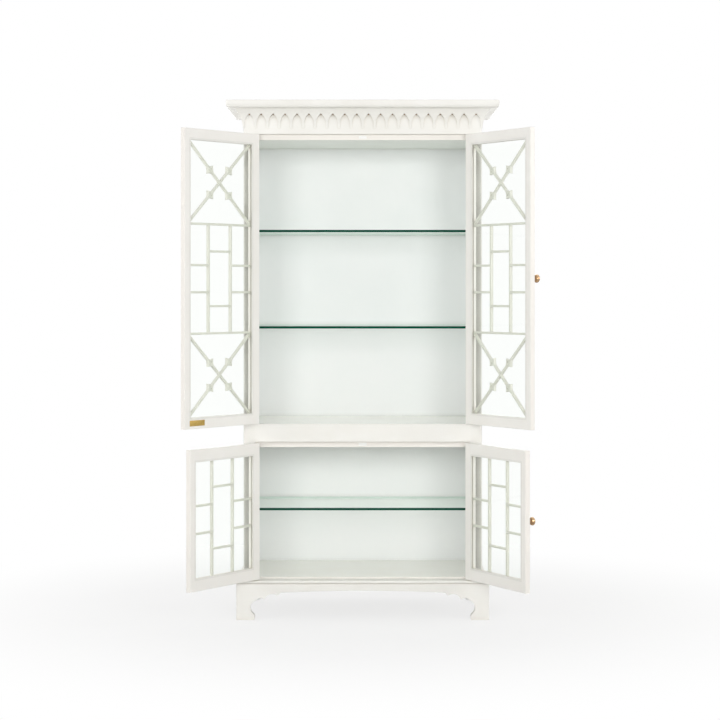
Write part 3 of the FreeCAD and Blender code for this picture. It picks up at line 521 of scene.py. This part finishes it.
def door_plane(door):
    """The upright plane through the hinge pin of an open door, along the door."""
    hinge = [joint for joint in frame["joints"] if joint["name"] == door + "_door_hinge"][0]
    x, y = hinge["pos_m"][:2]
    hand = -1 if x > 0 else 1
    turn = math.radians(OPENING[door])
    return Plane((x, y, 0), (hand * math.cos(turn), -math.sin(turn), 0),
                 (hand * math.sin(turn), math.cos(turn), 0))


# Fretwork of the doors: rounded bars, and bosses with an eye turned into each face.

PANE_NEAR = 47.6
PANE_FAR = 415.0
PANE_MIDDLE = (PANE_NEAR + PANE_FAR) / 2
UPPER_PANE = (865.5, 1984.5)
LOWER_PANE = (220.0, 687.5)
FRET_FACE = 4.5
FRET_BACK = 16.9
BAR_WIDTH = 9.4
BAR_ROUNDING = 1.5
# How far a bar runs past the end of its line, into what it meets.
BAR_LAP = 3.0
SLANT_LAP = 6.0
# The faces of level, slanting and crossing bars lie this much deeper, so that no two coincide.
LEVEL_SINK = 0.12
SLANT_SINK = 0.2
CROSSING_SINK = 0.06
# Distances from the middle of the pane: the uprights, then the level bars between and beside them.
COLUMN_PLACE = 66.0
UPPER_BARS = (111.7, 55.0)
LOWER_BARS = (125.5, 56.0)
# In the upper doors a band of uprights and level bars lies between two crossed panels.
BAND_HALF = 222.25
PANEL_HEIGHT = 333.0
# Each boss's distance from the crossing, its reach along and across the bar, and its hollow sides.
BOSS_PLACE = 76.0
BOSS_ENDS = (28.0, 23.0)
BOSS_WAIST = 10.2
BOSS_ROUNDING = 1.2
BOSS_PROUD = 0.4
SIDE_STEPS = 6
# The eye's radius and depth, from its rim to its bottom. All but the first band take the eye's painted shade.
EYE = ((7.6, 0.0), (6.0, 0.3), (5.2, 1.6), (4.4, 4.0), (2.0, 4.4))
SUNK_BANDS = 3


def bar(start, finish, lap=BAR_LAP):
    """The outline of a bar along a line."""
    start, finish = Vector(start), Vector(finish)
    run = (finish - start).normalized()
    across = Vector((-run.y, run.x)) * (BAR_WIDTH / 2)
    start, finish = start - run * lap, finish + run * lap
    return [start - across, finish - across, finish + across, start + across]


def boss_outline(centre, run):
    """A lozenge with hollow sides, anticlockwise from its tip along the bar."""
    across = Vector((-run.y, run.x))
    long, wide = BOSS_ENDS
    tips = [Vector((long, 0)), Vector((0, wide)), Vector((-long, 0)), Vector((0, -wide))]
    outline = []
    for tip, after in zip(tips, tips[1:] + tips[:1]):
        waist = Vector([math.copysign(BOSS_WAIST, place) for place in tip + after])
        pull = waist * 2 - (tip + after) / 2
        for step in range(SIDE_STEPS):
            share = step / SIDE_STEPS
            outline.append(tip * (1 - share) ** 2 + pull * 2 * share * (1 - share) + after * share ** 2)
    return [centre + run * point.x + across * point.y for point in outline]


def eye(plane, centre, outline, face, inward):
    """Loops of a boss's eye, from its bottom to the face."""
    loops = []
    for radius, sunk in reversed(EYE):
        ring = [centre + (point - centre).normalized() * radius for point in outline]
        loops.append([plane.at(x, face + inward * sunk, z) for x, z in ring])
    return loops


def boss(plane, centre, run, low, high):
    """Loops of a boss, from the bottom of one eye round its edge to the bottom of the other."""
    outline = boss_outline(centre, run)
    return (eye(plane, centre, outline, low, 1)
            + rounded_slab(plane, outline, low, high, BOSS_ROUNDING)
            + eye(plane, centre, outline, high, -1)[::-1])


def crossed_panel(form, plane, foot):
    """Two bars that cross from corner to corner of a panel, each with a boss on both sides."""
    centre = Vector((PANE_MIDDLE, foot + PANEL_HEIGHT / 2))
    for rising in (1, -1):
        reach = Vector((PANE_FAR - PANE_MIDDLE, rising * PANEL_HEIGHT / 2))
        outline = bar(centre - reach, centre + reach, SLANT_LAP)
        sink = CROSSING_SINK * rising
        form.loft(rounded_slab(plane, outline, FRET_FACE + SLANT_SINK + sink, FRET_BACK - SLANT_SINK - sink,
                               BAR_ROUNDING))
        run = reach.normalized()
        for way in (-1, 1):
            place = centre + run * (way * BOSS_PLACE)
            form.loft(boss(plane, place, run, FRET_FACE - BOSS_PROUD, FRET_BACK), SUNK_BANDS)


def fretwork(door):
    """Two uprights joined by level bars, and in the upper doors a crossed panel over and under them."""
    plane = door_plane(door)
    upper = door.startswith("upper")
    low, high = UPPER_PANE if upper else LOWER_PANE
    middle_bars, side_bars = UPPER_BARS if upper else LOWER_BARS
    level = (low + high) / 2
    foot, head = (level - BAND_HALF, level + BAND_HALF) if upper else (low, high)
    left, right = PANE_MIDDLE - COLUMN_PLACE, PANE_MIDDLE + COLUMN_PLACE
    form = Form()
    for x in (left, right):
        outline = bar((x, foot), (x, head))
        form.loft(rounded_slab(plane, outline, FRET_FACE, FRET_BACK, BAR_ROUNDING))
    for sign in (-1, 1):
        runs = [(left, right, middle_bars, 0), (PANE_NEAR, left, side_bars, BAR_LAP),
                (right, PANE_FAR, side_bars, BAR_LAP)]
        if upper:
            runs.append((PANE_NEAR, PANE_FAR, BAND_HALF, BAR_LAP))
        for start, finish, step, lap in runs:
            height = level + sign * step
            outline = bar((start, height), (finish, height), lap)
            form.loft(rounded_slab(plane, outline, FRET_FACE + LEVEL_SINK, FRET_BACK - LEVEL_SINK,
                                   BAR_ROUNDING))
    if upper:
        for panel_foot in (low, high - PANEL_HEIGHT):
            crossed_panel(form, plane, panel_foot)
    form.place(door + "_fretwork_bars", door + "_door", "fretwork_lacquer", [fret_shaded_white, fret_eye_shade],
               [door + "_fretwork"])


for door in OPENING:
    fretwork(door)

# The free edge of each door takes a little painted shade, so that it reads no brighter than the door's face.

for door in OPENING:
    direction = door_plane(door).along
    stile = nodes[door + "_meeting_stile"]
    free_edge = max(corner.co.dot(direction) for corner in stile.data.vertices)
    stile.data.materials[0] = lacquer(door + "_edge_lacquer", DOOR_LIT_WHITE, UPRIGHT_GRAIN,
                                      face_shade=(direction, free_edge))

# Knobs: a full, rounded head on a short waisted stem, with a small rose against the door.

KNOB_PLACE = 432.5
KNOB_LEVEL = {"upper_right": 1425, "lower_right": 453.75}
KNOB_PROFILE = (
    (7.0, 0.0), (7.0, 1.2), (6.4, 2.1), (5.4, 2.8), (5.0, 4.2), (5.0, 7.4), (5.8, 9.4),
    (8.2, 11.4), (11.6, 13.2), (14.6, 15.6), (16.4, 18.6), (17.0, 21.6), (16.7, 24.0), (15.6, 26.4),
    (15.0, 27.0), (14.2, 27.2), (12.6, 28.6), (9.6, 30.2), (6.0, 31.3), (3.0, 31.8), (1.0, 31.9),
)

for door, level in KNOB_LEVEL.items():
    form = Form()
    form.loft(turned(door_plane(door), KNOB_PLACE, level, DOOR_OUTER_FACE, -1, KNOB_PROFILE))
    form.place(door + "_turned_knob", door + "_door", "knob_brass", [knob_brass], [door + "_knob"],
               smooth_angle=50)

# Glass shelves: the flats are clear, the front edge is deep green and the hidden edges are pale.

ARRIS = 0.0008
LEVEL_ENOUGH = 0.9


def glass_shelf(node):
    """A shelf with its arrises taken off. This one is drawn in metres, from the node's own box."""
    low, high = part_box(node)
    corners = rectangle(low.x, high.x, low.y, high.y)
    levels = ((low.z, ARRIS), (low.z + ARRIS, 0), (high.z - ARRIS, 0), (high.z, ARRIS))
    form = Form()
    form.loft([[Vector((x, y, z)) for x, y in drawn_in(corners, step)] for z, step in levels])
    looks = [shelf_pane, shelf_front_edge, shelf_other_edge]
    piece = form.place(node + "_pane", "carcass", "shelf_glass", looks, [node], smooth_angle=20)
    for face in piece.data.polygons:
        if abs(face.normal.z) < LEVEL_ENOUGH:
            face.material_index = 1 if face.center.y < low.y + 2 * ARRIS else 2


for node in ("upper_shelf", "middle_shelf", "lower_shelf"):
    glass_shelf(node)

# A small dark disc at the tip of each pointed arch of the cornice is painted shade, where its recess is deepest.
# A row is drawn on a face of the carcass, with a number of arches and the place of the first.

ARCH_PITCH = 50
ARCH_TIP_SHADE_HEIGHT = 2115.2
ARCH_TIP_SHADE_PROFILE = ((3.0, -0.1), (3.0, 0.25), (2.6, 0.5), (2.1, 0.3), (0.8, 0.15))
ARCH_ROWS = (
    (Plane((0, -0.265, 0), RIGHT, BACK), 20, -475),
    (Plane((-0.5, 0, 0), BACK, RIGHT), 10, -225),
    (Plane((0.5, 0, 0), BACK, LEFT), 10, -225),
)

form = Form()
for face, arches, first in ARCH_ROWS:
    for number in range(arches):
        form.loft(turned(face, first + ARCH_PITCH * number, ARCH_TIP_SHADE_HEIGHT, 0, -1, ARCH_TIP_SHADE_PROFILE,
                         count=16))
form.place("cornice_arch_tip_shades", "carcass", "white_lacquer", [arch_tip_shade])

# The board between the back feet, with feet slim enough to hide behind the front ones. The node's mesh
# is in metres, and so are these two lengths.

BACK_FOOT = 0.04
SAME_PLACE = 0.0001
form = Form()
form.mesh.from_mesh(nodes["back_apron"].data)
outer = max(corner.co.x for corner in form.mesh.verts)
inner = min(abs(corner.co.x) for corner in form.mesh.verts)
for corner in form.mesh.verts:
    if abs(abs(corner.co.x) - inner) < SAME_PLACE:
        corner.co.x = math.copysign(outer - BACK_FOOT, corner.co.x)
form.place("back_apron_board", "carcass", slots["back_apron"], [inside], ["back_apron"], smooth_angle=20)

# The blank plate inside the upper left door, held by two small pins.

PLATE_NEAR, PLATE_FAR = 334.0, 421.0
PLATE_FOOT, PLATE_HEAD = 831.0, 854.0
PLATE_THICKNESS = 0.8
PLATE_ROUNDING = 0.35
PIN_INSET = 5
PIN_SEAT = DOOR_INNER_FACE + 0.7
PIN_PROFILE = ((1.9, 0.0), (1.9, 0.15), (1.5, 0.4), (0.7, 0.55))

plane = door_plane("upper_left")
outline = rectangle(PLATE_NEAR, PLATE_FAR, PLATE_FOOT, PLATE_HEAD)
form = Form()
form.loft(rounded_slab(plane, outline, DOOR_INNER_FACE, DOOR_INNER_FACE + PLATE_THICKNESS, PLATE_ROUNDING))
for along in (PLATE_NEAR + PIN_INSET, PLATE_FAR - PIN_INSET):
    form.loft(turned(plane, along, (PLATE_FOOT + PLATE_HEAD) / 2, PIN_SEAT, 1, PIN_PROFILE, count=20))
form.place("upper_left_blank_plate", "upper_left_door", "plate_brass", [plate_brass], ["upper_left_plate"])

# Floor, light and camera.

PURE_WHITE = (1, 1, 1, 1)
FLOOR_SIZE = 24
FLOOR_WHITE = (shade(230, 230, 229), shade(226, 226, 225))
# The floor glows white to the camera, in part at its middle and in full far out.
GLOW_AT_MIDDLE = 0.74
GLOW_FROM = 0.7
GLOW_FULL = 2.2
ROOM_FILL = 0.45


def floor_material():
    """Pale paint that takes the shadow, and fades to white far away."""
    floor = Look("floor_paint")
    length = floor.add("ShaderNodeVectorMath", operation="LENGTH")
    floor.link(floor.coordinates(), length.inputs[0])
    far = floor.spread(length.outputs["Value"], GLOW_AT_MIDDLE, 1, GLOW_FROM, GLOW_FULL, "SMOOTHSTEP")
    speck = floor.noise(scale=3, detail=3)
    floor.link(floor.blend(floor.spread(speck, 0, 1), *FLOOR_WHITE), floor.shader.inputs["Base Color"])
    floor.fix(Roughness=0.9, Specular_IOR_Level=0.1)
    glow = floor.add("ShaderNodeEmission")
    glow.inputs["Color"].default_value = PURE_WHITE
    rays = floor.add("ShaderNodeLightPath")
    seen = floor.compute("MULTIPLY", far, rays.outputs["Is Camera Ray"])
    floor.link(floor.choose(seen, floor.shader.outputs["BSDF"], glow.outputs["Emission"]),
               floor.output.inputs["Surface"])
    return floor.material


def light_room():
    """A soft fill from all sides. The camera, the mirrors and what is seen through glass get plain white."""
    world = bpy.data.worlds.new("studio")
    bpy.context.scene.world = world
    world.use_nodes = True
    room = Graph(world.node_tree)
    fill = room.tree.nodes["Background"]
    plain = room.add("ShaderNodeBackground")
    for background, strength in ((fill, ROOM_FILL), (plain, 1)):
        background.inputs["Color"].default_value = PURE_WHITE
        background.inputs["Strength"].default_value = strength
    rays = room.add("ShaderNodeLightPath")
    seen = room.compute("MAXIMUM", rays.outputs["Is Camera Ray"], rays.outputs["Is Transmission Ray"])
    shown = room.compute("MAXIMUM", seen, rays.outputs["Is Glossy Ray"])
    room.link(room.choose(shown, fill.outputs["Background"], plain.outputs["Background"]),
              room.tree.nodes["World Output"].inputs["Surface"])


LAMP_COLOUR = (1.0, 0.998, 0.99)


def softbox(name, place, aim, size, power, spread):
    """A rectangular lamp that looks at a point, with its power in watts and its spread in degrees."""
    lamp = bpy.data.lights.new(name, "AREA")
    lamp.shape = "RECTANGLE"
    lamp.size, lamp.size_y = size
    lamp.energy = power
    lamp.spread = math.radians(spread)
    lamp.color = LAMP_COLOUR
    holder = bpy.data.objects.new(name, lamp)
    bpy.context.scene.collection.objects.link(holder)
    holder.location = place
    turn = [aim[axis] - place[axis] for axis in range(3)]
    flat = math.hypot(turn[0], turn[1])
    holder.rotation_euler = (math.atan2(flat, -turn[2]), 0, math.atan2(turn[1], turn[0]) - math.pi / 2)
    holder.visible_camera = False


bpy.ops.mesh.primitive_plane_add(size=FLOOR_SIZE, location=(0, 0, 0))
floor = bpy.context.object
floor.name = "studio_floor"
floor.data.materials.append(floor_material())
light_room()

softbox("front_left_light", (-2.2, -8.6, 2.6), (0, 0, 1.1), (2.0, 1.8), 123, 180)
softbox("front_right_light", (2.3, -8.8, 2.4), (0, 0, 1.1), (2.0, 1.8), 134, 180)
softbox("front_low_light", (0, -8.0, 1.5), (0, 0, 0.34), (1.6, 0.6), 0.48, 15)
softbox("left_light", (-4.4, -2.6, 2.2), (-0.4, 0, 1.6), (1.6, 1.6), 58, 180)
softbox("right_light", (4.4, -2.8, 2.2), (0.4, 0, 1.6), (1.6, 1.6), 60, 180)
softbox("left_low_light", (-2.6, 1.4, 0.3), (-0.53, 0.1, 2.15), (1.2, 1.0), 2.6, 50)
softbox("right_low_light", (2.6, 1.4, 0.3), (0.53, 0.1, 2.15), (1.2, 1.0), 2.6, 50)
softbox("top_light", (0, 0.6, 5.0), (0, 0, 2.1), (2.4, 2.4), 22, 180)
softbox("rear_light", (0, 4.6, 2.6), (0, 0.3, 1.0), (2.4, 1.8), 40, 180)

# The camera looks level, straight at the front. The shifts put the picture where the photo has it.
CAMERA_PLACE = (0, -8.361, 1.375)
camera_data = bpy.data.cameras.new("camera")
camera_data.sensor_width = 36
camera_data.lens = 96.5
camera_data.shift_x = -0.00375
camera_data.shift_y = -0.0958
camera_data.clip_end = 100
camera = bpy.data.objects.new("camera", camera_data)
camera.location = CAMERA_PLACE
camera.rotation_euler = (math.radians(90), 0, 0)
bpy.context.scene.collection.objects.link(camera)
bpy.context.scene.camera = camera
bpy.context.scene.view_settings.view_transform = "Standard"
